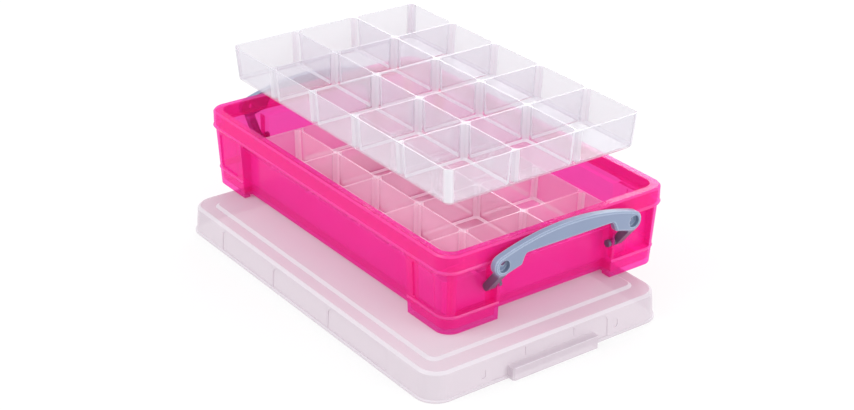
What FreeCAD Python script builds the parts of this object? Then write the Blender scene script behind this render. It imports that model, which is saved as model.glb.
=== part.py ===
# A shallow clip-lid storage box for prints and craft parts, with two fifteen-cell trays.
# Lengths are in millimetres. X runs along the box, Y across it, Z up.
# The origin lies on the ground under the middle of everything that is shown:
# the lid lies right way up on the ground, the box stands on the lid's raised panel, set back
# from it, one tray sits in the box and the other is held above the place where it seats.

import os
import FreeCAD
import Part
from math import acos, atan2, cos, hypot, pi, sin
from FreeCAD import Vector

# Trays, which set the inside of the box
tray_length = 334.0
tray_width = 207.0
tray_height = 34.0
tray_draft = 2.4
tray_corner_radius = 7.0
tray_skin = 1.4
tray_floor = 1.4
tray_floor_bevel = 3.0
cell_columns = 5
cell_rows = 3
cell_divider = 1.4
cell_draft = 0.7
cell_corner_radius = 4.5
cell_corner_flats = 2
cell_floor_bevel = 2.0
tray_play = 2.8
tray_shown_lift = 68.0

# Storage box
rim_margin_x = 19.2
rim_margin_y = 14.7
box_height = 75.0
wall = 2.0
floor_skin = 2.0
tub_draft = 1.6
tub_corner_radius = 9.0
rim_corner_radius = 16.0
rim_edge_bevel = 1.6
rim_land = 8.0
apron_height = 17.0
apron_skin = 2.0
apron_bead = 0.8
bead_height = 3.0

# Corner posts of the box
post_length = 57.0
post_width = 59.0
post_step = 1.8
post_draft = 2.7
foot_height = 16.0
foot_corner_radius = 14.0
panel_depth = 1.2
panel_margin = 9.0
panel_corner_bevel = 1.4
pocket_depth = 9.5
pocket_end_margin = 14.0
cheek_skin = 2.6
cheek_setback = 1.4

# Carry handles, one on each end
ear_radius = 9.0
ear_height = 59.5
crest_rise = 20.3
arch_depth = 15.0
ear_foot_length = 18.9
ear_root_length = 22.9
ear_foot_drop = 4.2
knee_radius = 4.0
handle_skin = 7.0
handle_stand = 13.0
handle_edge_bevel = 1.4
dish_radius = 5.5
dish_depth = 4.4
eye_radius = 2.7
eye_rise = 1.8
eye_inset = 1.2
leg_width = 7.2
leg_gap = 2.2
leg_radius = 3.5
leg_root_drop = 4.7
leg_root_inset = 4.2
pivot_height = 33.0
pivot_inset = 5.4
pin_radius = 2.6
pin_head_radius = 3.4
pin_head_length = 2.8
pin_play = 0.06
side_play = 0.35

# Lid
lid_play = 0.6
lid_skin = 1.8
lid_height = 26.5
lid_draft = 1.5
lid_corner_radius = 19.0
lid_edge_bevel = 2.4
lid_bead = 1.2
lid_bead_height = 2.4
plateau_margin_x = 17.5
plateau_margin_y = 13.6
plateau_rise = 2.0
plateau_bevel = 3.0
plateau_corner_radius = 9.0
stack_play = 0.6
stack_clearance = 0.3
skirt_panel_depth = 0.6
skirt_panel_drop = 4.2
skirt_panel_radius = 5.0
skirt_rib = 1.8
long_panel_margin = 59.4
long_panel_count = 3
short_panel_margin = 61.4
short_rib_spacing = 52.0
short_rib_drop = 8.0
short_rib_stand = 0.6
dimple_margin = 52.4
dimple_width = 5.0
dimple_height = 8.6
dimple_depth = 0.7
dimple_rise = 7.5
clip_play = 1.5
clip_reach = 7.6
clip_drop = 15.6
clip_skin = 1.8
clip_ledge_lip = 0.8
clip_corner_bevel = 1.6

# How far the box stands back from the middle of the lid
box_shift_x = 33.0
box_shift_y = 37.0

# One overrun for every cut, and how near an edge lies to a place that it is looked for at
overrun = 1.0
near = 0.02
quarter_turn = 90.0
half_turn = 180.0

# Sizes that follow from those above
tub_inner_length = tray_length + 2 * tray_play
tub_inner_width = tray_width + 2 * tray_play
rim_length = tub_inner_length + 2 * rim_margin_x
rim_width = tub_inner_width + 2 * rim_margin_y
floor_rise = plateau_rise + stack_clearance
floor_top = floor_rise + floor_skin
apron_bottom = box_height - apron_height
collar_length = rim_length - 2 * rim_land
collar_width = rim_width - 2 * rim_land
collar_radius = rim_corner_radius - rim_land / 2
rim_outline = (rim_length, rim_width, rim_corner_radius)
apron_inner_length = rim_length - 2 * apron_skin
apron_inner_width = rim_width - 2 * apron_skin
apron_inner_outline = (apron_inner_length, apron_inner_width, rim_corner_radius - apron_skin)
post_top_length = rim_length - 2 * post_step
post_top_width = rim_width - 2 * post_step
post_foot_length = post_top_length - 2 * post_draft
post_foot_width = post_top_width - 2 * post_draft
cheek_inner = rim_width / 2 - post_width
cheek_outer = cheek_inner + cheek_skin
pocket_back = rim_length / 2 - post_step - pocket_depth
cheek_reach = pocket_back + pocket_depth - cheek_setback
pivot_x = cheek_reach - pivot_inset + cheek_setback
handle_reach = rim_length / 2 + handle_stand
ear_spacing = 2 * (cheek_outer + leg_gap) + leg_width
crest_height = ear_height + crest_rise
ear_lower_height = ear_height - ear_foot_drop
leg_root_height = ear_height - leg_root_drop
ear_inner_spacing = ear_spacing - 2 * ear_foot_length
grip_opening = ear_spacing - 2 * ear_root_length
lid_top_inner_length = rim_length + 2 * lid_play
lid_top_inner_width = rim_width + 2 * lid_play
lid_top_length = lid_top_inner_length + 2 * lid_skin
lid_top_width = lid_top_inner_width + 2 * lid_skin
lid_foot_length = lid_top_length + 2 * lid_draft
lid_foot_width = lid_top_width + 2 * lid_draft
plateau_length = lid_top_length - 2 * plateau_margin_x
plateau_width = lid_top_width - 2 * plateau_margin_y
long_panel_span = lid_top_length - 2 * long_panel_margin
short_panel_span = lid_top_width - 2 * short_panel_margin
dimple_spacing = lid_top_width - 2 * dimple_margin
clip_length = grip_opening - 2 * clip_play
lid_reach = lid_foot_length / 2 + clip_reach
stack_height = lid_height + plateau_rise

# Places of the lid and the box, so that the origin is under the middle of the whole
reach_difference = lid_reach - handle_reach
lid_x = (box_shift_x - reach_difference) / 2
box_x = lid_x - box_shift_x
width_difference = lid_foot_width / 2 + lid_bead - rim_width / 2 - apron_bead
lid_y = -(box_shift_y - width_difference) / 2
box_y = lid_y + box_shift_y


# Wires and solids that several pieces use
def rounded_rectangle(length, width, radius, z):
    """A closed wire centred on the Z axis, with its sides along X and Y."""
    half_x = length / 2
    half_y = width / 2
    edges = []
    corners = ((1, 1), (-1, 1), (-1, -1), (1, -1))
    for sign_x, sign_y in corners:
        centre = Vector(sign_x * (half_x - radius), sign_y * (half_y - radius), z)
        along_x = Vector(sign_x * radius, 0, 0)
        along_y = Vector(0, sign_y * radius, 0)
        start, end = (along_x, along_y) if sign_x == sign_y else (along_y, along_x)
        middle = (along_x + along_y).normalize() * radius
        edges.append(Part.Arc(centre + start, centre + middle, centre + end).toShape())
    sides = []
    for index, edge in enumerate(edges):
        following = edges[(index + 1) % len(edges)]
        sides.append(edge)
        sides.append(Part.LineSegment(edge.Vertexes[-1].Point, following.Vertexes[0].Point).toShape())
    return Part.Wire(sides)


def loft(*wires):
    return Part.makeLoft(list(wires), True, True)


def drafted_block(foot, top, low, high, radius):
    """A block between two upright rectangles, given as x and y limits, with its leaning edges round."""
    foot_x, foot_y = foot
    top_x, top_y = top
    block = Part.makeWedge(
        foot_x[0], low, -foot_y[1], -top_y[1], top_x[0], foot_x[1], high, -foot_y[0], -top_y[0], top_x[1])
    block.rotate(Vector(0, 0, 0), Vector(1, 0, 0), quarter_turn)
    leaning = edges_where(block, lambda edge: edge.BoundBox.ZLength > (high - low) / 2)
    return block.makeFillet(radius, leaning)


def tapered_block(foot, top, low, high, radius):
    """A drafted block centred on the Z axis, its foot and top given as length and width."""
    limits = [[(-size / 2, size / 2) for size in outline] for outline in (foot, top)]
    return drafted_block(*limits, low, high, radius)


def straight_block(outline, low, high):
    """An upright block whose outline is given as length, width and corner radius."""
    return Part.Face(rounded_rectangle(*outline, low)).extrude(Vector(0, 0, high - low))


def box_between(low, high):
    size = [high[i] - low[i] for i in range(len(low))]
    return Part.makeBox(*size, Vector(*low))


def mirrored(shape, normal):
    return shape.mirror(Vector(0, 0, 0), normal)


def both_sides(shape, normal):
    return [shape, mirrored(shape, normal)]


def four_corners(shape):
    """The shape and its mirror images in the planes across X and across Y."""
    pair = both_sides(shape, Vector(1, 0, 0))
    return [copy for member in pair for copy in both_sides(member, Vector(0, 1, 0))]


def edges_where(shape, test):
    return [edge for edge in shape.Edges if test(edge)]


def at_height(z):
    def test(edge):
        bounds = edge.BoundBox
        return abs(bounds.ZMin - z) < near and abs(bounds.ZMax - z) < near
    return test


def moved(shape, x, y, z):
    copy = shape.copy()
    copy.translate(Vector(x, y, z))
    return copy


# The tray: a thin tub with its dividers standing flush with its rim
def cell_side(index, count, inner_span, pitch, half_divider, side):
    """Where a cell ends along one axis: at the tray's own wall, or at a divider."""
    if index in (0, count):
        return side * inner_span / 2
    return (index - count / 2) * pitch - side * half_divider


def cell_limits(column, row, z):
    """The x limits and y limits of one cell at a height."""
    share = z / tray_height
    lean = 2 * tray_draft * (1 - share)
    half_divider = cell_divider / 2 + cell_draft * (1 - share)
    spans = (tray_length - 2 * tray_skin - lean, tray_width - 2 * tray_skin - lean)
    limits = []
    for index, count, span in ((column, cell_columns, spans[0]), (row, cell_rows, spans[1])):
        pitch = (span + lean - tray_draft) / count
        low = cell_side(index, count, span, pitch, half_divider, -1)
        high = cell_side(index + 1, count, span, pitch, half_divider, 1)
        limits.append((low, high))
    return limits


def cell_outline(column, row, z, inset):
    """The corners of one cell's outline at a height, its round corners drawn as a few chords of an arc."""
    (x_low, x_high), (y_low, y_high) = cell_limits(column, row, z)
    radius = cell_corner_radius - inset
    reach = inset + radius
    corners = ((x_high - reach, y_high - reach), (x_low + reach, y_high - reach),
               (x_low + reach, y_low + reach), (x_high - reach, y_low + reach))
    points = []
    for index, (x, y) in enumerate(corners):
        for step in range(cell_corner_flats + 1):
            turn = (index + step / cell_corner_flats) * pi / 2
            points.append(Vector(x + radius * cos(turn), y + radius * sin(turn), z))
    return points


def flat_sided_block(*rings):
    """A solid with flat faces between level rings of points, so that what repeats stays light."""
    outlines = [rings[0], rings[-1]]
    for lower, upper in zip(rings, rings[1:]):
        for index, point in enumerate(lower):
            following = (index + 1) % len(lower)
            outlines.append([point, lower[following], upper[following], upper[index]])
    faces = [Part.Face(Part.makePolygon(outline + outline[:1])) for outline in outlines]
    shell = Part.makeShell(faces)
    shell.sewShape()
    return Part.makeSolid(Part.Shell(shell.Faces))


def tray_cell(column, row):
    """The hollow of one cell, from its bevelled floor edge to past its mouth."""
    floor = cell_outline(column, row, tray_floor, cell_floor_bevel)
    waist = cell_outline(column, row, tray_floor + cell_floor_bevel, 0)
    mouth = cell_outline(column, row, tray_height + overrun, 0)
    return flat_sided_block(floor, waist, mouth)


def tray():
    rim = (tray_length, tray_width)
    foot = (tray_length - 2 * tray_draft, tray_width - 2 * tray_draft)
    outside = tapered_block(foot, rim, 0, tray_height, tray_corner_radius)
    outside = outside.makeChamfer(tray_floor_bevel, edges_where(outside, at_height(0)))
    cells = [tray_cell(column, row) for column in range(cell_columns) for row in range(cell_rows)]
    return outside.cut(Part.makeCompound(cells))


# The storage box: a tub, a collar with an apron round it, and four hollow corner posts
def post_block(inset, low, high):
    """The tapered block that the four posts are cut from, drawn in by an inset."""
    outlines = []
    for z in (low, high):
        lean = 2 * post_draft * z / apron_bottom - 2 * inset
        outlines.append((post_foot_length + lean, post_foot_width + lean))
    return tapered_block(*outlines, low, high, foot_corner_radius - inset)


def corner_region(from_x, from_y, low, high):
    """Four blocks that reach out from the given distances along X and Y."""
    block = box_between((from_x, from_y, low), (rim_length, rim_width, high))
    return Part.makeCompound(four_corners(block))


def tub(length, width, low, high):
    lean = 2 * tub_draft * (high - low) / box_height
    return tapered_block((length, width), (length + lean, width + lean), low, high, tub_corner_radius)


def bead(z):
    """A low rounded bead round the posts, centred on a height."""
    share = z / apron_bottom
    length = post_foot_length + 2 * post_draft * share
    width = post_foot_width + 2 * post_draft * share
    radius = foot_corner_radius
    half = bead_height / 2
    low = rounded_rectangle(length, width, radius, z - half)
    middle = rounded_rectangle(length + 2 * apron_bead, width + 2 * apron_bead, radius + apron_bead, z)
    high = rounded_rectangle(length, width, radius, z + half)
    return loft(low, middle, high)


def box_outside():
    post_start_x = rim_length / 2 - post_length
    walls = tub(tub_inner_length + 2 * wall, tub_inner_width + 2 * wall, 0, box_height)
    collar_outline = (collar_length + 2 * wall, collar_width + 2 * wall, collar_radius + wall)
    collar = straight_block(collar_outline, apron_bottom - wall, box_height)
    posts = post_block(0, 0, apron_bottom).fuse([bead(foot_height)])
    posts = posts.common(corner_region(post_start_x, cheek_inner, 0, box_height))
    apron = straight_block(rim_outline, apron_bottom, box_height)
    top_edges = edges_where(apron, at_height(box_height))
    apron = apron.makeChamfer(rim_edge_bevel, top_edges)
    apron = apron.cut(straight_block(apron_inner_outline, apron_bottom - overrun, box_height - wall))
    bridge = straight_block(rim_outline, apron_bottom, apron_bottom + wall)
    bridge = bridge.common(corner_region(post_start_x, cheek_inner, 0, box_height))
    return walls.fuse([collar, posts, apron, bridge, apron_lip()])


def apron_lip():
    """The rounded lower edge of the apron, which stands a little proud all round."""
    half = bead_height / 2
    crest = (rim_length + 2 * apron_bead, rim_width + 2 * apron_bead, rim_corner_radius + apron_bead)
    low = rounded_rectangle(*rim_outline, apron_bottom)
    middle = rounded_rectangle(*crest, apron_bottom + half)
    high = rounded_rectangle(*rim_outline, apron_bottom + bead_height)
    hole = straight_block(apron_inner_outline, apron_bottom - overrun, apron_bottom + bead_height + overrun)
    return loft(low, middle, high).cut(hole)


def box_inside():
    post_start_x = rim_length / 2 - post_length
    well = tub(tub_inner_length, tub_inner_width, floor_top, box_height + overrun)
    collar = straight_block((collar_length, collar_width, collar_radius), apron_bottom, box_height + overrun)
    hollow = post_block(wall, floor_top, apron_bottom)
    region = corner_region(post_start_x + wall, cheek_outer, floor_top, apron_bottom)
    hollow = hollow.common(region).cut(Part.makeCompound(pocket_blocks(wall)))
    return well.fuse([collar, hollow])


def pocket_blocks(grow):
    """The hollows in the end faces of the posts that the handle's legs swing in."""
    block = box_between(
        (pocket_back - grow, cheek_outer - grow, foot_height + bead_height / 2 - grow),
        (rim_length, rim_width / 2 - pocket_end_margin + grow, apron_bottom - wall + grow))
    return four_corners(block)


def panel_blocks():
    """The shallow panels on the long faces of the posts, between the two beads."""
    post_start_x = rim_length / 2 - post_length
    low = foot_height + bead_height
    high = apron_bottom - panel_margin / 2
    block = box_between(
        (post_start_x + panel_margin, tub_inner_width / 2, low),
        (post_foot_length / 2 - foot_corner_radius, rim_width, high))
    edges = edges_where(block, lambda edge: edge.BoundBox.YLength > panel_margin)
    block = block.makeChamfer(panel_corner_bevel, edges)
    return four_corners(block.cut(post_block(panel_depth, 0, apron_bottom)))


def storage_box():
    body = box_outside().cut(box_inside())
    pockets = pocket_blocks(0)
    body = body.cut(Part.makeCompound(pockets + panel_blocks()))
    cheek_trim = box_between(
        (cheek_reach, cheek_inner - overrun, foot_height + bead_height / 2),
        (rim_length, cheek_outer + overrun, apron_bottom))
    body = body.cut(Part.makeCompound(four_corners(cheek_trim)))
    recess_x = plateau_length / 2 + stack_play
    recess_y = plateau_width / 2 + stack_play
    body = body.cut(box_between((-recess_x, -recess_y, -overrun), (recess_x, recess_y, floor_rise)))
    hole_start = Vector(pivot_x, cheek_inner - overrun, pivot_height)
    hole = Part.makeCylinder(pin_radius + pin_play, cheek_skin + 2 * overrun, hole_start, Vector(0, 1, 0))
    return body.cut(Part.makeCompound(four_corners(hole)))


# The carry handle at the +X end: an arched grip, two eared ends, two legs and their pins
def tangent_point(point, centre, radius, side):
    """Where a line from a point touches a circle, on one of its two sides."""
    across = (centre[0] - point[0], centre[1] - point[1])
    distance = hypot(*across)
    turn = atan2(-across[1], -across[0]) + side * acos(radius / distance)
    return (centre[0] + radius * cos(turn), centre[1] + radius * sin(turn))


def grip_outline(x):
    """The outline of the grip and its ears, in a plane across the X axis."""
    ear_y = ear_spacing / 2
    rise = crest_height - ear_height
    arch_radius = (ear_y ** 2 + rise ** 2 - ear_radius ** 2) / (2 * (rise - ear_radius))
    arch_centre = crest_height - arch_radius
    lean = atan2(ear_y, ear_height - arch_centre)
    shoulder = (arch_radius * sin(lean), arch_centre + arch_radius * cos(lean))
    lower = (ear_inner_spacing / 2, ear_lower_height)
    heel = tangent_point(lower, (ear_y, ear_height), ear_radius, 1)
    knee = (grip_opening / 2, crest_height - arch_depth)

    def at(point, sign=1):
        return Vector(x, sign * point[0], point[1])

    outer = (ear_y + ear_radius, ear_height)
    edges = [Part.Arc(at(shoulder, -1), at((0, crest_height)), at(shoulder)).toShape()]
    edges.append(Part.Arc(at(shoulder), at(outer), at(heel)).toShape())
    for start, end in ((at(heel), at(lower)), (at(lower), at(knee)), (at(knee), at(knee, -1)),
                       (at(knee, -1), at(lower, -1)), (at(lower, -1), at(heel, -1))):
        edges.append(Part.LineSegment(start, end).toShape())
    edges.append(Part.Arc(at(heel, -1), at(outer, -1), at(shoulder, -1)).toShape())
    return Part.Wire(edges)


def grip():
    back = handle_reach - handle_skin
    plate = Part.Face(grip_outline(back)).extrude(Vector(handle_skin, 0, 0))

    def across_x_at(y, z):
        def test(edge):
            bounds = edge.BoundBox
            matches = abs(abs(bounds.YMin) - y) < near and abs(bounds.ZMin - z) < near
            return matches and bounds.YLength < near and bounds.ZLength < near
        return test

    knees = edges_where(plate, across_x_at(grip_opening / 2, crest_height - arch_depth))
    plate = plate.makeFillet(knee_radius, knees)

    def on_face(x):
        def test(edge):
            bounds = edge.BoundBox
            return abs(bounds.XMin - x) < near and abs(bounds.XMax - x) < near
        return test

    return plate.makeChamfer(handle_edge_bevel, edges_where(plate, on_face(handle_reach)))


def leg():
    """The leg behind the ear at +Y, which runs in and down to the pivot."""
    root = (handle_reach - handle_skin + leg_root_inset, leg_root_height)
    tip = (pivot_x, pivot_height)
    run = atan2(root[1] - tip[1], root[0] - tip[0])
    side = (-sin(run) * leg_radius, cos(run) * leg_radius)
    along = (cos(run) * leg_radius, sin(run) * leg_radius)
    y = ear_spacing / 2 - leg_width / 2

    def at(point, *steps):
        return Vector(point[0] + sum(step[0] for step in steps), y, point[1] + sum(step[1] for step in steps))

    back_side = (-side[0], -side[1])
    back_along = (-along[0], -along[1])
    edges = [
        Part.Arc(at(root, side), at(root, along), at(root, back_side)).toShape(),
        Part.LineSegment(at(root, back_side), at(tip, back_side)).toShape(),
        Part.Arc(at(tip, back_side), at(tip, back_along), at(tip, side)).toShape(),
        Part.LineSegment(at(tip, side), at(root, side)).toShape(),
    ]
    bar = Part.Face(Part.Wire(edges)).extrude(Vector(0, leg_width, 0))
    front = handle_reach - handle_edge_bevel
    keep = box_between((0, 0, 0), (front, rim_width, box_height))
    return bar.common(keep)


def pin():
    """The pivot pin at +Y, from the leg through the cheek to its head inside the recess."""
    start = ear_spacing / 2
    end = cheek_inner - side_play - pin_head_length
    across = Vector(0, -1, 0)
    shank = Part.makeCylinder(pin_radius, start - end, Vector(pivot_x, start, pivot_height), across)
    head_start = Vector(pivot_x, end + pin_head_length, pivot_height)
    head = Part.makeCylinder(pin_head_radius, pin_head_length, head_start, across)
    shoulder_length = start - cheek_outer - side_play
    shoulder = Part.makeCylinder(leg_radius, shoulder_length, Vector(pivot_x, start, pivot_height), across)
    return [shank, head, shoulder]


def carry_handle():
    body = grip()
    limbs = [leg()] + pin()
    pair = [copy for limb in limbs for copy in both_sides(limb, Vector(0, 1, 0))]
    body = body.fuse(pair)
    outward = Vector(1, 0, 0)
    dish_bottom = Vector(handle_reach - dish_depth, ear_spacing / 2, ear_height)
    dish = Part.makeCylinder(dish_radius, dish_depth + overrun, dish_bottom, outward)
    eye_x = handle_reach - handle_skin - overrun
    eye_back = Vector(eye_x, ear_spacing / 2 - eye_inset, ear_height + eye_rise)
    eye = Part.makeCylinder(eye_radius, handle_skin + 2 * overrun, eye_back, outward)
    holes = both_sides(dish, Vector(0, 1, 0)) + both_sides(eye, Vector(0, 1, 0))
    return body.cut(Part.makeCompound(holes)).removeSplitter()


# The lid: a top with a raised plateau, a deep skirt and a clip lug on each end
def skirt_panels_long():
    """Shallow panels in the long sides of the skirt, with arched upper corners."""
    pitch = long_panel_span / long_panel_count
    blocks = []
    face = lid_top_width / 2 - skirt_panel_depth
    for index in range(long_panel_count):
        middle = (index - (long_panel_count - 1) / 2) * pitch
        length = pitch - skirt_rib
        blocks.append(arched_block(middle, length, face, lid_height - skirt_panel_drop))
    return [copy for block in blocks for copy in both_sides(block, Vector(0, 1, 0))]


def arched_block(middle, length, face, top):
    """A cutter in front of a long side that leans out with the skirt's draft."""
    low_face = face + lid_draft * top / lid_height
    start = middle - length / 2
    clear = face + lid_reach
    profile = ((low_face, lid_bead_height), (face, top), (clear, top), (clear, lid_bead_height))
    wire = Part.makePolygon([Vector(start, y, z) for y, z in profile + profile[:1]])
    block = Part.Face(wire).extrude(Vector(length, 0, 0))

    def upper_and_across(edge):
        bounds = edge.BoundBox
        return bounds.YLength > lid_reach - lid_bead and bounds.ZMin > top - overrun

    return block.makeFillet(skirt_panel_radius, edges_where(block, upper_and_across))


def skirt_panels_short():
    """One shallow panel in each end of the skirt, round the clip lug."""
    face = lid_top_length / 2 - skirt_panel_depth
    panel = arched_block(0, short_panel_span, face, lid_height - skirt_panel_drop)
    panel.rotate(Vector(0, 0, 0), Vector(0, 0, 1), -quarter_turn)
    return both_sides(panel, Vector(1, 0, 0))


def short_ribs():
    """Short upright ribs under the top edge of each end."""
    face = lid_top_length / 2 - skirt_panel_depth
    high = lid_height - skirt_panel_drop
    rib = box_between(
        (face - overrun / 2, short_rib_spacing / 2 - skirt_rib / 2, high - short_rib_drop),
        (face + skirt_panel_depth + short_rib_stand / 2, short_rib_spacing / 2 + skirt_rib / 2, high))
    return four_corners(rib)


def dimples():
    """Small oval dents beside the panels of the two ends."""
    straight = dimple_height - dimple_width
    z = dimple_rise + dimple_width / 2
    y = dimple_spacing / 2
    x = lid_top_length / 2 + lid_draft * (1 - z / lid_height) - dimple_depth
    low = Part.makeCylinder(dimple_width / 2, lid_reach, Vector(x, y, z), Vector(1, 0, 0))
    high = moved(low, 0, 0, straight)
    middle = box_between((x, y - dimple_width / 2, z), (x + lid_reach, y + dimple_width / 2, z + straight))
    return four_corners(low.fuse([high, middle]).removeSplitter())


def clip_lug():
    """The lug at +X that the handle's grip snaps over: a ledge with a turned-down face."""
    inner = lid_top_length / 2 - lid_skin / 2
    outer = lid_reach
    top = lid_height - clip_drop
    shell = box_between((inner, -clip_length / 2, 0), (outer, clip_length / 2, top))

    def upright_outside(edge):
        return edge.BoundBox.ZLength > clip_skin and edge.BoundBox.XMin > outer - clip_skin

    shell = shell.makeChamfer(clip_corner_bevel, edges_where(shell, upright_outside))
    hollow = box_between(
        (inner - overrun, -clip_length / 2 + clip_skin, -overrun),
        (outer - clip_skin, clip_length / 2 - clip_skin, top - clip_skin))
    lip = box_between(
        (outer - clip_skin, -clip_length / 2 + clip_corner_bevel, top),
        (outer, clip_length / 2 - clip_corner_bevel, top + clip_ledge_lip))
    lip_edges = edges_where(lip, lambda edge: edge.BoundBox.ZMin > top + clip_ledge_lip / 2)
    lip = lip.makeChamfer(clip_ledge_lip / 2, lip_edges)
    return shell.cut(hollow).fuse([lip])


def lid_outside():
    foot = (lid_foot_length, lid_foot_width)
    top = (lid_top_length, lid_top_width)
    body = tapered_block(foot, top, 0, lid_height, lid_corner_radius)
    body = body.makeChamfer(lid_edge_bevel, edges_where(body, at_height(lid_height)))
    bead_levels = ((2 * lid_bead, 0), (2 * lid_bead, lid_bead_height / 2), (-lid_skin, lid_bead_height))
    rings = []
    for grow, z in bead_levels:
        length = lid_foot_length + grow
        width = lid_foot_width + grow
        rings.append(rounded_rectangle(length, width, lid_corner_radius + grow / 2, z))
    body = body.cut(Part.makeCompound(skirt_panels_long() + skirt_panels_short() + dimples()))
    return body.fuse([loft(*rings)] + short_ribs() + [plateau()])


def plateau():
    """The raised middle of the top, with a bevelled edge."""
    length = plateau_length
    width = plateau_width
    radius = plateau_corner_radius
    low = rounded_rectangle(length, width, radius, lid_height - lid_skin)
    edge = rounded_rectangle(length, width, radius, lid_height)
    top = rounded_rectangle(
        length - 2 * plateau_bevel, width - 2 * plateau_bevel, radius - plateau_bevel, stack_height)
    return loft(low, edge, top)


def lid_inside():
    """The hollow under the lid and its plateau, which leans as the skirt does and runs past its foot."""
    top = lid_height - lid_skin
    steepness = lid_draft / lid_height
    outlines = []
    for z in (-overrun, top):
        lean = 2 * steepness * (lid_height - z)
        outlines.append((lid_top_inner_length + lean, lid_top_inner_width + lean))
    cavity = tapered_block(*outlines, -overrun, top, lid_corner_radius - lid_skin)
    recess_x = plateau_length / 2 - plateau_bevel - lid_skin
    recess_y = plateau_width / 2 - plateau_bevel - lid_skin
    low = (-recess_x, -recess_y, top - overrun)
    return cavity.fuse([box_between(low, (recess_x, recess_y, stack_height - lid_skin))])


def lid():
    body = lid_outside().cut(lid_inside())
    lug = clip_lug().cut(lid_inside())
    return body.fuse(both_sides(lug, Vector(1, 0, 0))).removeSplitter()


# Building and placing every piece
def build():
    box_base = stack_height
    tray_base = box_base + floor_top
    upper_base = tray_base + tray_height + tray_shown_lift
    tray_shape = tray()
    handle = carry_handle()
    far_handle = handle.copy()
    far_handle.rotate(Vector(0, 0, 0), Vector(0, 0, 1), half_turn)
    return {
        "lid": moved(lid(), lid_x, lid_y, 0),
        "storage_box": moved(storage_box(), box_x, box_y, box_base),
        "front_handle": moved(handle, box_x, box_y, box_base),
        "rear_handle": moved(far_handle, box_x, box_y, box_base),
        "lower_tray": moved(tray_shape, box_x, box_y, tray_base),
        "upper_tray": moved(tray_shape, box_x, box_y, upper_base),
    }


def main():
    os.makedirs("parts", exist_ok=True)
    for name, shape in build().items():
        shape.exportStep(os.path.join("parts", name + ".step"))
        print(name, "solids", len(shape.Solids), "valid", shape.isValid(), "volume", round(shape.Volume))


main()
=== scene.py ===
# %% [markdown]
# A clip-lid storage box for prints and small craft parts. Its lid is off and lies under it, one
# divided tray sits inside, and a second tray is held above the place where it seats. The solids come
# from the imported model, which stays as it is. This notebook gives every moulding its plastic, lights
# the set, and places the camera where the photograph was taken.

import math

import bpy
from mathutils import Matrix, Vector


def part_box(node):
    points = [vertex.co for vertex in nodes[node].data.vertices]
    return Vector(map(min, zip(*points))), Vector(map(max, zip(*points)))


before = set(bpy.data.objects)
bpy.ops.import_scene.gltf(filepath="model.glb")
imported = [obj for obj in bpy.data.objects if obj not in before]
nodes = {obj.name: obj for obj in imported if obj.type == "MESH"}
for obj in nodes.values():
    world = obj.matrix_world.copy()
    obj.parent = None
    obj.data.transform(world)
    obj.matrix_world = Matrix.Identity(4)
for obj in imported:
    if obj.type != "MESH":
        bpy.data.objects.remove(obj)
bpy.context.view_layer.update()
MM = 0.001
print("nodes:", ", ".join(sorted(nodes)))

# %% [markdown]
# Every length below is a real one in metres. The box is the piece that the camera was measured
# against, so its middle on the plane of its feet is the point that the camera's place is counted from.

# %% Where the box stands
box_low, box_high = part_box("storage_box")
box_foot = Vector(((box_low.x + box_high.x) / 2, (box_low.y + box_high.y) / 2, box_low.z))
print("box foot centre", [round(v, 4) for v in box_foot])

# %% [markdown]
# The camera. Its turn, height and distance were solved from the edges of the box, the lid and the
# trays in the photograph. An azimuth of 0 looks along +Y; the elevation is the angle above the
# horizon. The picture is 854 pixels wide, and the focal length is kept in those pixels, as it was
# solved. The width of the sensor is in millimetres, as Blender counts it.

# %% Set the camera
CAMERA_AZIMUTH = 53.433
CAMERA_ELEVATION = 26.427
CAMERA_ROLL = 0.634
CAMERA_FROM_BOX = Vector((1160.951, -860.835, 731.489)) * MM
FOCAL_PIXELS = 1744.97
FRAME_PIXELS = 854
SENSOR_WIDTH = 36.0
NEAREST_SEEN = 0.05
FARTHEST_SEEN = 60.0

camera_data = bpy.data.cameras.new("camera")
camera_data.sensor_width = SENSOR_WIDTH
camera_data.lens = FOCAL_PIXELS / FRAME_PIXELS * camera_data.sensor_width
camera_data.clip_start = NEAREST_SEEN
camera_data.clip_end = FARTHEST_SEEN
camera = bpy.data.objects.new("camera", camera_data)
bpy.context.scene.collection.objects.link(camera)
turn = Matrix.Rotation(math.radians(CAMERA_AZIMUTH), 4, "Z")
tilt = Matrix.Rotation(math.radians(90 - CAMERA_ELEVATION), 4, "X")
roll = Matrix.Rotation(math.radians(CAMERA_ROLL), 4, "Z")
camera.matrix_world = Matrix.Translation(box_foot + CAMERA_FROM_BOX) @ turn @ tilt @ roll
bpy.context.scene.camera = camera
print("camera at", [round(v, 3) for v in camera.location], "lens", round(camera_data.lens, 2))

# %% [markdown]
# Clear plastic needs many light paths: a ray through the held tray, the tray below and the box crosses
# a dozen walls, each with two faces. With too few, the deepest layers turn black.

# %% Let light through many walls
scene = bpy.context.scene
scene.cycles.max_bounces = 24
scene.cycles.diffuse_bounces = 6
scene.cycles.glossy_bounces = 6
scene.cycles.transmission_bounces = 16
scene.cycles.transparent_max_bounces = 64
scene.view_settings.view_transform = "Standard"
print("a ray may cross", scene.cycles.transparent_max_bounces, "clear faces")

# %% [markdown]
# Small helpers for building materials. The first adds a node and sets its inputs or properties. The
# second feeds an input, from another node or with a plain number or colour. The third and fourth make
# a Math node and a colour Mix node in one line.

# %% Helpers for nodes
def add_node(tree, kind, **values):
    """A new node with the given input values or properties."""
    node = tree.nodes.new(kind)
    for name, value in values.items():
        socket = name.replace("_", " ")
        if socket in node.inputs:
            node.inputs[socket].default_value = value
        else:
            setattr(node, name, value)
    return node


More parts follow.
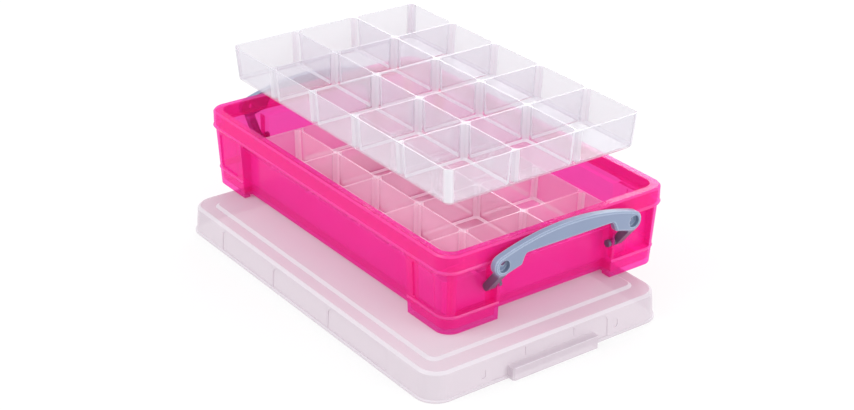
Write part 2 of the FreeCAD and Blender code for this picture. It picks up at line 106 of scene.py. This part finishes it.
def feed(tree, target, source):
    """Feeds an input from an output, or sets it to a number or an RGB colour."""
    if isinstance(source, bpy.types.NodeSocket):
        tree.links.new(source, target)
    elif isinstance(source, tuple):
        target.default_value = (*source, 1)
    else:
        target.default_value = source


def calc(tree, operation, *sources, clamp=False):
    """What a Math node makes of outputs and numbers."""
    node = add_node(tree, "ShaderNodeMath", operation=operation, use_clamp=clamp)
    for target, source in zip(node.inputs, sources):
        feed(tree, target, source)
    return node.outputs["Value"]


def mix_colours(tree, share, first, second):
    """The first colour where the share is 0 and the second where it is 1."""
    node = add_node(tree, "ShaderNodeMix", data_type="RGBA")
    feed(tree, node.inputs["Factor"], share)
    feed(tree, node.inputs["A"], first)
    feed(tree, node.inputs["B"], second)
    return node.outputs["Result"]


print("made four node helpers")

# %% [markdown]
# Three more helpers. One starts a material with nothing but its output, one mixes two shaders, and one
# starts a node group: all its sockets carry plain values, apart from a normal.

# %% Helpers for materials and groups
def new_material(name):
    material = bpy.data.materials.new(name)
    material.use_nodes = True
    material.node_tree.nodes.clear()
    output = add_node(material.node_tree, "ShaderNodeOutputMaterial")
    return material, material.node_tree, output


def mix_shaders(tree, share, first, second):
    """The first shader where the share is 0 and the second where it is 1."""
    node = add_node(tree, "ShaderNodeMixShader")
    feed(tree, node.inputs["Fac"], share)
    feed(tree, node.inputs[1], first)
    feed(tree, node.inputs[2], second)
    return node.outputs["Shader"]


def new_group(name, inputs, outputs):
    """A node group with its entry and its exit."""
    group = bpy.data.node_groups.new(name, "ShaderNodeTree")
    for in_out, sockets in (("INPUT", inputs), ("OUTPUT", outputs)):
        for socket in sockets:
            kind = "NodeSocketVector" if socket == "Normal" else "NodeSocketFloat"
            group.interface.new_socket(socket, in_out=in_out, socket_type=kind)
    return group, add_node(group, "NodeGroupInput"), add_node(group, "NodeGroupOutput")


print("made helpers for materials and groups")

# %% [markdown]
# Moulded plastic is never perfectly even. It has slow waves where it cooled, a fine grain from the
# mould, and edges that are polished by handling. The first group makes the waves and the grain: it
# puts out a height for a Bump node and a roughness that changes a little from place to place.

# %% Node group: the skin of a moulding
WAVE_DETAIL = 2.0
GRAIN_DETAIL = 3.0
GRAIN_ROUGHNESS = 0.6
NOISE_MIDDLE = 0.5


def moulded_skin_group():
    group, entry, leave = new_group(
        "moulded skin",
        ("Wave size", "Grain size", "Grain share", "Roughness", "Roughness spread"),
        ("Height", "Roughness", "Cloud"))
    place = add_node(group, "ShaderNodeTexCoord").outputs["Object"]
    waves = add_node(group, "ShaderNodeTexNoise", Detail=WAVE_DETAIL)
    grain = add_node(group, "ShaderNodeTexNoise", Detail=GRAIN_DETAIL, Roughness=GRAIN_ROUGHNESS)
    for noise, size in ((waves, "Wave size"), (grain, "Grain size")):
        feed(group, noise.inputs["Vector"], place)
        feed(group, noise.inputs["Scale"], entry.outputs[size])
    height = add_node(group, "ShaderNodeMix", data_type="FLOAT")
    feed(group, height.inputs["Factor"], entry.outputs["Grain share"])
    feed(group, height.inputs["A"], waves.outputs["Fac"])
    feed(group, height.inputs["B"], grain.outputs["Fac"])
    centred = calc(group, "SUBTRACT", waves.outputs["Fac"], NOISE_MIDDLE)
    rough = calc(group, "MULTIPLY_ADD", centred, entry.outputs["Roughness spread"],
                 entry.outputs["Roughness"], clamp=True)
    feed(group, leave.inputs["Height"], height.outputs["Result"])
    feed(group, leave.inputs["Roughness"], rough)
    feed(group, leave.inputs["Cloud"], waves.outputs["Fac"])
    return group


moulded_skin = moulded_skin_group()
print("made group", moulded_skin.name)

# %% [markdown]
# See-through plastic turns milky where light runs a long way inside it, in upright corners where two
# walls meet in a curve. Bevelled edges, which stand at a slant, get a painted highlight: paler and
# milkier. Both can be told from the way a face points. A slanted face has a Z part of its normal
# between flat and upright, and a turning face has an X part and a Y part at once. This costs far less
# than a
# Bevel node, which would be asked again at each of the many walls that one ray crosses.

# %% Node group: slanted and turning faces
SLANT_MIDDLE = 0.6
SLANT_REACH = 0.3


def bevel_and_corner_group():
    group, entry, leave = new_group("bevels and corners", ("Corner gain",), ("Bevel highlight", "Corner"))
    geometry = add_node(group, "ShaderNodeNewGeometry")
    parts = add_node(group, "ShaderNodeSeparateXYZ")
    feed(group, parts.inputs["Vector"], geometry.outputs["True Normal"])
    steepness = calc(group, "ABSOLUTE", parts.outputs["Z"])
    # Slanted faces are bevels, which take a painted highlight.
    slanted = calc(group, "COMPARE", steepness, SLANT_MIDDLE, SLANT_REACH)
    both = calc(group, "MULTIPLY", parts.outputs["X"], parts.outputs["Y"])
    turning = calc(group, "ABSOLUTE", both)
    corner = calc(group, "MULTIPLY", turning, entry.outputs["Corner gain"], clamp=True)
    feed(group, leave.inputs["Bevel highlight"], slanted)
    feed(group, leave.inputs["Corner"], corner)
    return group


bevel_and_corner_masks = bevel_and_corner_group()
print("made group", bevel_and_corner_masks.name)

# %% [markdown]
# The opaque handles get a third group. It compares the face's own normal with one that a Bevel node
# has rounded, and puts out the rounded normal and a mask that is white along edges, where a painted
# highlight is laid.

# %% Node group: soft, catching edges
BEVEL_RAYS = 4


def soft_edge_group():
    group, entry, leave = new_group("soft edge", ("Radius", "Gain"), ("Normal", "Edge"))
    rounded = add_node(group, "ShaderNodeBevel", samples=BEVEL_RAYS)
    feed(group, rounded.inputs["Radius"], entry.outputs["Radius"])
    geometry = add_node(group, "ShaderNodeNewGeometry")
    likeness = add_node(group, "ShaderNodeVectorMath", operation="DOT_PRODUCT")
    feed(group, likeness.inputs[0], rounded.outputs["Normal"])
    feed(group, likeness.inputs[1], geometry.outputs["Normal"])
    unlike = calc(group, "SUBTRACT", 1.0, likeness.outputs["Value"])
    edge = calc(group, "MULTIPLY", unlike, entry.outputs["Gain"], clamp=True)
    feed(group, leave.inputs["Normal"], rounded.outputs["Normal"])
    feed(group, leave.inputs["Edge"], edge)
    return group


soft_edge = soft_edge_group()
print("made group", soft_edge.name)

# %% [markdown]
# The trays have one more milky place: the narrow upper edges of their walls and dividers, which show
# as fine pale lines. This group marks faces that lie at the height of either tray's rim.

# %% Node group: tray rims
RIM_DEPTH = 0.5 * MM
RIM_SHARE = 0.15


def tray_rim_group():
    group, entry, leave = new_group("tray rims", (), ("Rim",))
    place = add_node(group, "ShaderNodeTexCoord")
    parts = add_node(group, "ShaderNodeSeparateXYZ")
    feed(group, parts.inputs["Vector"], place.outputs["Object"])
    marks = [calc(group, "COMPARE", parts.outputs["Z"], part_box(tray)[1].z, RIM_DEPTH)
             for tray in ("lower_tray", "upper_tray")]
    either = calc(group, "MAXIMUM", *marks)
    feed(group, leave.inputs["Rim"], calc(group, "MULTIPLY", either, RIM_SHARE))
    return group


tray_rims = tray_rim_group()
print("made group", tray_rims.name)

# %% [markdown]
# See-through plastic. Each face of a wall lets part of the light straight through, tinted by the dye,
# and scatters the rest. So two walls behind each other look deeper than one, as they do on the real
# box, and a lamp's light passes through the walls and colours what lies behind. More is scattered
# where the wall is seen at a slant and in its corners, and its bevelled edges carry a painted
# highlight.
#
# `body` holds the colour that a flat wall scatters and the paler one of thick corners, rims and
# painted bevel highlights. `filter_colour` is what one face lets through. `milk` is the share
# scattered where a wall is seen square on, `slant_milk` at a slant, and the third share is added where
# `body` turns paler.

# %% Recipe for see-through plastic
PLASTIC_IOR = 1.49
GRAIN_SHARE = 0.3
ROUGHNESS_SPREAD = 0.2
SKIN_DEPTH = 0.4 * MM
SLANT_BLEND = 0.35


def see_through_plastic(name, body, filter_colour, milk, slant_milk, thick_and_highlight_milk, corner_gain,
                        roughness, wave, grain, bump, rims=False):
    material, tree, output = new_material(name)
    bevel_and_corner_node = add_node(tree, "ShaderNodeGroup", node_tree=bevel_and_corner_masks, Corner_gain=corner_gain)
    # Bevels add a painted highlight; corners and rims add milk where the plastic is really thick.
    thickness_and_highlight = calc(tree, "MAXIMUM", bevel_and_corner_node.outputs["Bevel highlight"], bevel_and_corner_node.outputs["Corner"])
    if rims:
        rim = add_node(tree, "ShaderNodeGroup", node_tree=tray_rims)
        thickness_and_highlight = calc(tree, "MAXIMUM", thickness_and_highlight, rim.outputs["Rim"])

    skin = add_node(tree, "ShaderNodeGroup", node_tree=moulded_skin, Wave_size=wave,
                    Grain_size=grain, Grain_share=GRAIN_SHARE, Roughness=roughness,
                    Roughness_spread=ROUGHNESS_SPREAD)
    bumps = add_node(tree, "ShaderNodeBump", Strength=bump, Distance=SKIN_DEPTH)
    feed(tree, bumps.inputs["Height"], skin.outputs["Height"])
    plastic = add_node(tree, "ShaderNodeBsdfPrincipled", IOR=PLASTIC_IOR)
    feed(tree, plastic.inputs["Base Color"], mix_colours(tree, thickness_and_highlight, body[0], body[1]))
    feed(tree, plastic.inputs["Roughness"], skin.outputs["Roughness"])
    feed(tree, plastic.inputs["Normal"], bumps.outputs["Normal"])

    window = add_node(tree, "ShaderNodeBsdfTransparent")
    feed(tree, window.inputs["Color"], filter_colour)
    slant = add_node(tree, "ShaderNodeLayerWeight", Blend=SLANT_BLEND)
    by_slant = add_node(tree, "ShaderNodeMapRange", To_Min=milk, To_Max=slant_milk)
    feed(tree, by_slant.inputs["Value"], slant.outputs["Facing"])
    scattered = calc(tree, "MULTIPLY_ADD", thickness_and_highlight, thick_and_highlight_milk, by_slant.outputs["Result"],
                     clamp=True)
    both = mix_shaders(tree, scattered, window.outputs["BSDF"], plastic.outputs["BSDF"])
    feed(tree, output.inputs["Surface"], both)
    return material


print("made the recipe for see-through plastic")

# %% [markdown]
# The box: a hot pink dye that takes most of the green and a good part of the blue. One wall over
# something white looks bright pink; two walls look nearly red. Its bevels carry painted highlight
# lines.

# %% Material: pink box plastic
pink_plastic = see_through_plastic(
    "pink plastic",
    body=((0.94, 0.056, 0.475), (0.94, 0.12, 0.53)),
    filter_colour=(0.985, 0.33, 0.735),
    milk=0.24, slant_milk=0.4, thick_and_highlight_milk=0.12, corner_gain=0.0,
    roughness=0.16, wave=14.0, grain=420.0, bump=0.06)
print("made", pink_plastic.name)

# %% [markdown]
# The lid and the trays: natural plastic without dye, so thin walls look clear with a breath of milk in
# them, corners turn white, and bevels take a painted highlight. The tray in the box has painted pink
# light in its colour, standing in for the light from the pink walls round it. The lid is thicker and
# matt, so it is milkier and a little grey, and the pink light that falls through the box tints it.

# %% Material: clear plastic
clear_plastic = see_through_plastic(
    "clear plastic",
    body=((0.81, 0.80, 0.85), (0.80, 0.79, 0.835)),
    filter_colour=(0.938, 0.936, 0.946),
    milk=0.18, slant_milk=0.33, thick_and_highlight_milk=0.55, corner_gain=3.0,
    roughness=0.2, wave=10.0, grain=500.0, bump=0.05, rims=True)
# Painted pink light: this tray's colour is tinted for the light that the box's walls throw on it.
tray_plastic_with_painted_pink_light = see_through_plastic(
    "clear plastic with painted pink light",
    body=((0.98, 0.83, 0.91), (0.98, 0.86, 0.92)),
    filter_colour=(0.99, 0.955, 0.97),
    milk=0.27, slant_milk=0.42, thick_and_highlight_milk=0.55, corner_gain=3.0,
    roughness=0.2, wave=10.0, grain=500.0, bump=0.05, rims=True)
lid_plastic = see_through_plastic(
    "lid plastic",
    body=((0.74, 0.69, 0.74), (0.72, 0.69, 0.735)),
    filter_colour=(0.93, 0.87, 0.903),
    milk=0.46, slant_milk=0.62, thick_and_highlight_milk=0.2, corner_gain=0.6,
    roughness=0.42, wave=8.0, grain=460.0, bump=0.07)
print("made", clear_plastic.name + ",", tray_plastic_with_painted_pink_light.name, "and", lid_plastic.name)

# %% [markdown]
# The handles: solid blue-grey plastic with a satin gloss. Slow clouds of tone keep it from looking
# flat, and its edges are painted paler, a painted highlight along them. The legs below the ears run
# into the pockets of the box, and a painted shade makes them dark and purplish, as they sit in pink
# shade.

# %% Material: handle plastic
GREY_DEEP = (0.193, 0.242, 0.362)
GREY_LIGHT = (0.238, 0.292, 0.425)
# The pale grey is a painted highlight that the edge mask lays along the handles' edges.
GREY_PAINTED_EDGE_HIGHLIGHT = (0.54, 0.62, 0.77)
# The dark purplish grey is painted shade for the legs in the box's pockets.
GREY_PAINTED_SHADE = (0.125, 0.095, 0.155)
EDGE_RADIUS = 1.6 * MM
EDGE_GAIN = 9.0
HANDLE_BUMP = 0.18
HANDLE_SKIN_DEPTH = 0.3 * MM
EAR_FOOT = 79.0 * MM
LEG_FADE = 2.5 * MM


def handle_plastic_material():
    material, tree, output = new_material("handle plastic")
    skin = add_node(tree, "ShaderNodeGroup", node_tree=moulded_skin, Wave_size=28.0,
                    Grain_size=900.0, Grain_share=0.5, Roughness=0.34, Roughness_spread=0.16)
    edge = add_node(tree, "ShaderNodeGroup", node_tree=soft_edge, Radius=EDGE_RADIUS,
                    Gain=EDGE_GAIN)
    bumps = add_node(tree, "ShaderNodeBump", Strength=HANDLE_BUMP, Distance=HANDLE_SKIN_DEPTH)
    feed(tree, bumps.inputs["Height"], skin.outputs["Height"])
    feed(tree, bumps.inputs["Normal"], edge.outputs["Normal"])

    place = add_node(tree, "ShaderNodeTexCoord")
    parts = add_node(tree, "ShaderNodeSeparateXYZ")
    feed(tree, parts.inputs["Vector"], place.outputs["Object"])
    # Painted shade: below the ears' feet the legs fade to the dark purplish grey.
    above_legs = add_node(tree, "ShaderNodeMapRange", From_Min=EAR_FOOT - LEG_FADE,
                          From_Max=EAR_FOOT)
    feed(tree, above_legs.inputs["Value"], parts.outputs["Z"])
    cloud = mix_colours(tree, skin.outputs["Cloud"], GREY_DEEP, GREY_LIGHT)
    # Painted highlight: the edges turn pale grey.
    painted_edge_highlight = mix_colours(tree, edge.outputs["Edge"], cloud, GREY_PAINTED_EDGE_HIGHLIGHT)
    tone = mix_colours(tree, above_legs.outputs["Result"], GREY_PAINTED_SHADE, painted_edge_highlight)

    plastic = add_node(tree, "ShaderNodeBsdfPrincipled", IOR=PLASTIC_IOR)
    feed(tree, plastic.inputs["Base Color"], tone)
    feed(tree, plastic.inputs["Roughness"], skin.outputs["Roughness"])
    feed(tree, plastic.inputs["Normal"], bumps.outputs["Normal"])
    feed(tree, output.inputs["Surface"], plastic.outputs["BSDF"])
    return material


handle_plastic = handle_plastic_material()
print("made", handle_plastic.name)

# %% [markdown]
# Each solid keeps its shape and place and only takes its finish.

# %% Dress the solids
FINISH = {
    "storage_box": pink_plastic,
    "lid": lid_plastic,
    "lower_tray": tray_plastic_with_painted_pink_light,
    "upper_tray": clear_plastic,
    "front_handle": handle_plastic,
    "rear_handle": handle_plastic,
}
for name, material in FINISH.items():
    solid = nodes[name]
    solid.data.materials.clear()
    solid.data.materials.append(material)
    print(name, "takes", material.name, "faces", len(solid.data.polygons))

# %% [markdown]
# The floor is plain and pale. Most of what the camera sees of it is its own white, so that it meets
# the white backdrop without a line, and the rest is lit, which keeps the soft shadow round the lid.
# Beyond the reach of the lamps its own white is a little stronger, so that it stays as white as the
# backdrop.

# %% Floor
FLOOR_SIZE = 12.0
FLOOR_GAP = 0.5 * MM
FLOOR_NEAR = 0.9
FLOOR_FAR = 2.4
NEAR_GLOW = 0.98
FAR_GLOW = 1.12
GLOW_SHARE = 0.75
FLOOR_PAINT = (0.9, 0.9, 0.9)

bpy.ops.object.select_all(action="DESELECT")
bpy.ops.mesh.primitive_plane_add(size=FLOOR_SIZE, location=(0, 0, -FLOOR_GAP))
floor = bpy.context.active_object
floor.name = "floor"
floor_material, tree, output = new_material("pale floor")
paint = add_node(tree, "ShaderNodeBsdfDiffuse")
feed(tree, paint.inputs["Color"], FLOOR_PAINT)
place = add_node(tree, "ShaderNodeTexCoord")
reach = add_node(tree, "ShaderNodeVectorMath", operation="LENGTH")
feed(tree, reach.inputs[0], place.outputs["Object"])
by_reach = add_node(tree, "ShaderNodeMapRange", From_Min=FLOOR_NEAR, From_Max=FLOOR_FAR,
                    To_Min=NEAR_GLOW, To_Max=FAR_GLOW)
feed(tree, by_reach.inputs["Value"], reach.outputs["Value"])
glow = add_node(tree, "ShaderNodeEmission")
feed(tree, glow.inputs["Strength"], by_reach.outputs["Result"])
mixed = mix_shaders(tree, GLOW_SHARE, paint.outputs["BSDF"], glow.outputs["Emission"])
feed(tree, output.inputs["Surface"], mixed)
floor.data.materials.append(floor_material)
print("floor", FLOOR_SIZE, "m wide")

# %% [markdown]
# The backdrop is pure white where the camera sees it, also in a reflection, and lights the set a
# little less than that.

# %% Backdrop
WHITE = (1, 1, 1)
SEEN_STRENGTH = 1.0
LIT_STRENGTH = 0.8

world = bpy.data.worlds.new("studio")
bpy.context.scene.world = world
world.use_nodes = True
tree = world.node_tree
tree.nodes.clear()
output = add_node(tree, "ShaderNodeOutputWorld")
seen = add_node(tree, "ShaderNodeBackground", Strength=SEEN_STRENGTH)
lit = add_node(tree, "ShaderNodeBackground", Strength=LIT_STRENGTH)
for background in (seen, lit):
    feed(tree, background.inputs["Color"], WHITE)
path = add_node(tree, "ShaderNodeLightPath")
direct_or_mirrored = calc(tree, "MAXIMUM", path.outputs["Is Camera Ray"],
                          path.outputs["Is Glossy Ray"])
shown = calc(tree, "MAXIMUM", direct_or_mirrored, path.outputs["Is Transmission Ray"])
by_path = mix_shaders(tree, shown, lit.outputs["Background"], seen.outputs["Background"])
feed(tree, output.inputs["Surface"], by_path)
print("backdrop", world.name)

# %% [markdown]
# Three soft boxes: a wide key above and to the left of the camera, a fill on the right, and a strip
# behind. The strip lights the top edges, and its light comes through the pink box on to the lid.

# %% Lights
SET_MIDDLE = (0, 0, 0.08)
LID_MIDDLE = (0.05, -0.1, 0.03)


def soft_box(name, place, aim, wide, high, watts):
    data = bpy.data.lights.new(name, "AREA")
    data.shape = "RECTANGLE"
    data.size = wide
    data.size_y = high
    data.energy = watts
    lamp = bpy.data.objects.new(name, data)
    bpy.context.scene.collection.objects.link(lamp)
    lamp.location = place
    lamp.rotation_euler = (Vector(aim) - Vector(place)).to_track_quat("-Z", "Y").to_euler()
    return lamp


lamps = [
    soft_box("key", place=(-0.5, -1.9, 1.9), aim=SET_MIDDLE, wide=1.6, high=1.2, watts=32),
    soft_box("fill", place=(2.1, 0.6, 1.1), aim=SET_MIDDLE, wide=1.4, high=1.2, watts=24),
    soft_box("back strip", place=(-1.0, 1.5, 0.9), aim=LID_MIDDLE, wide=1.6, high=0.6, watts=20),
]
print("lamps:", ", ".join(lamp.name for lamp in lamps))
